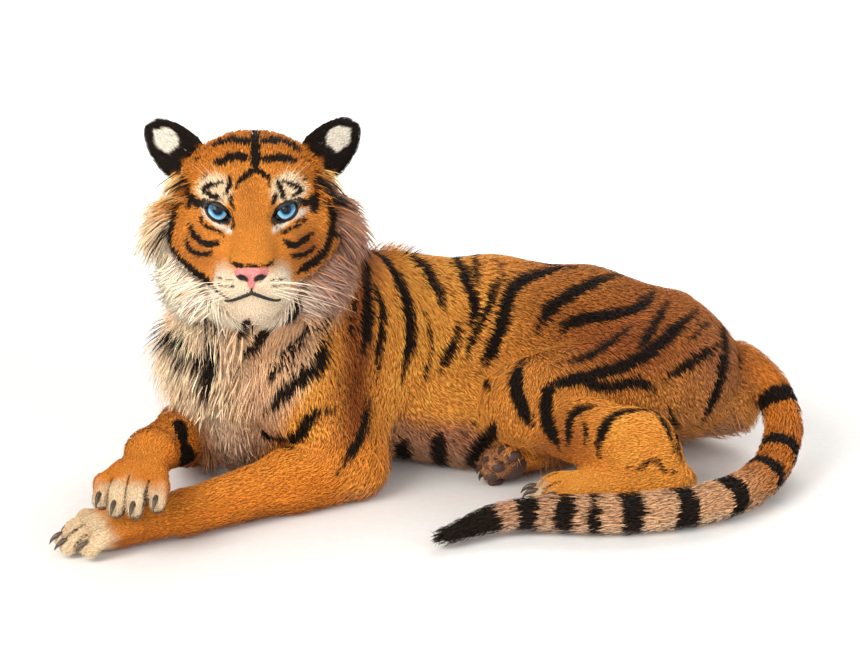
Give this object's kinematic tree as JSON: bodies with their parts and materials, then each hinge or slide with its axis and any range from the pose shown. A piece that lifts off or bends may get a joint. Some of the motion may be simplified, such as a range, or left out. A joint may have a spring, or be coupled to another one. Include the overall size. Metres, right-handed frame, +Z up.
{
  "type": "siberian tiger",
  "caption": "Life-size Siberian tiger lying with its head up, forepaws crossed, hips rolled to one side and its ringed tail laid along its flank",
  "frame": {"origin": "on the floor, below the middle of the whole tiger", "axes": "+X runs from the head to the hindquarters, -Y is the way the face looks, +Z is up from the floor"},
  "size_m": [1.3782, 0.8994, 0.734],
  "materials": {
    "coat": "orange fur with black-brown stripes",
    "coat_pale": "cream fur",
    "coat_dark": "short black fur with a cream spot",
    "eye": "glossy, pale blue iris, round black pupil",
    "nose": "pink nose leather, slightly moist",
    "claw": "horn, satin"
  },
  "bodies": {
    "root": {"belly": "coat_pale", "breast": "coat_pale", "cheek_left": "coat", "cheek_right": "coat", "claw_forepaw_left_1": "claw", "claw_forepaw_left_2": "claw", "claw_forepaw_left_3": "claw", "claw_forepaw_left_4": "claw", "claw_forepaw_right_1": "claw", "claw_forepaw_right_2": "claw", "claw_forepaw_right_3": "claw", "claw_forepaw_right_4": "claw", "claw_hind_foot_left_1": "claw", "claw_hind_foot_left_2": "claw", "claw_hind_foot_left_3": "claw", "claw_hind_foot_left_4": "claw", "claw_hind_foot_right_1": "claw", "claw_hind_foot_right_2": "claw", "claw_hind_foot_right_3": "claw", "claw_hind_foot_right_4": "claw", "ear_left": "coat_dark", "ear_right": "coat_dark", "eye_left": "eye", "eye_right": "eye", "forearm_left": "coat", "forearm_right": "coat", "forepaw_left": "coat", "forepaw_right": "coat", "head": "coat", "hind_foot_left": "coat", "hind_foot_right": "coat", "hips": "coat", "loin": "coat", "neck": "coat", "nose": "nose", "ribs": "coat", "shank_left": "coat", "shoulders": "coat", "tail_1": "coat", "tail_2": "coat", "tail_3": "coat", "tail_4": "coat", "tail_5": "coat", "thigh_left": "coat", "thigh_right": "coat", "upper_arm_left": "coat", "upper_arm_right": "coat"}
  },
  "joints": []
}
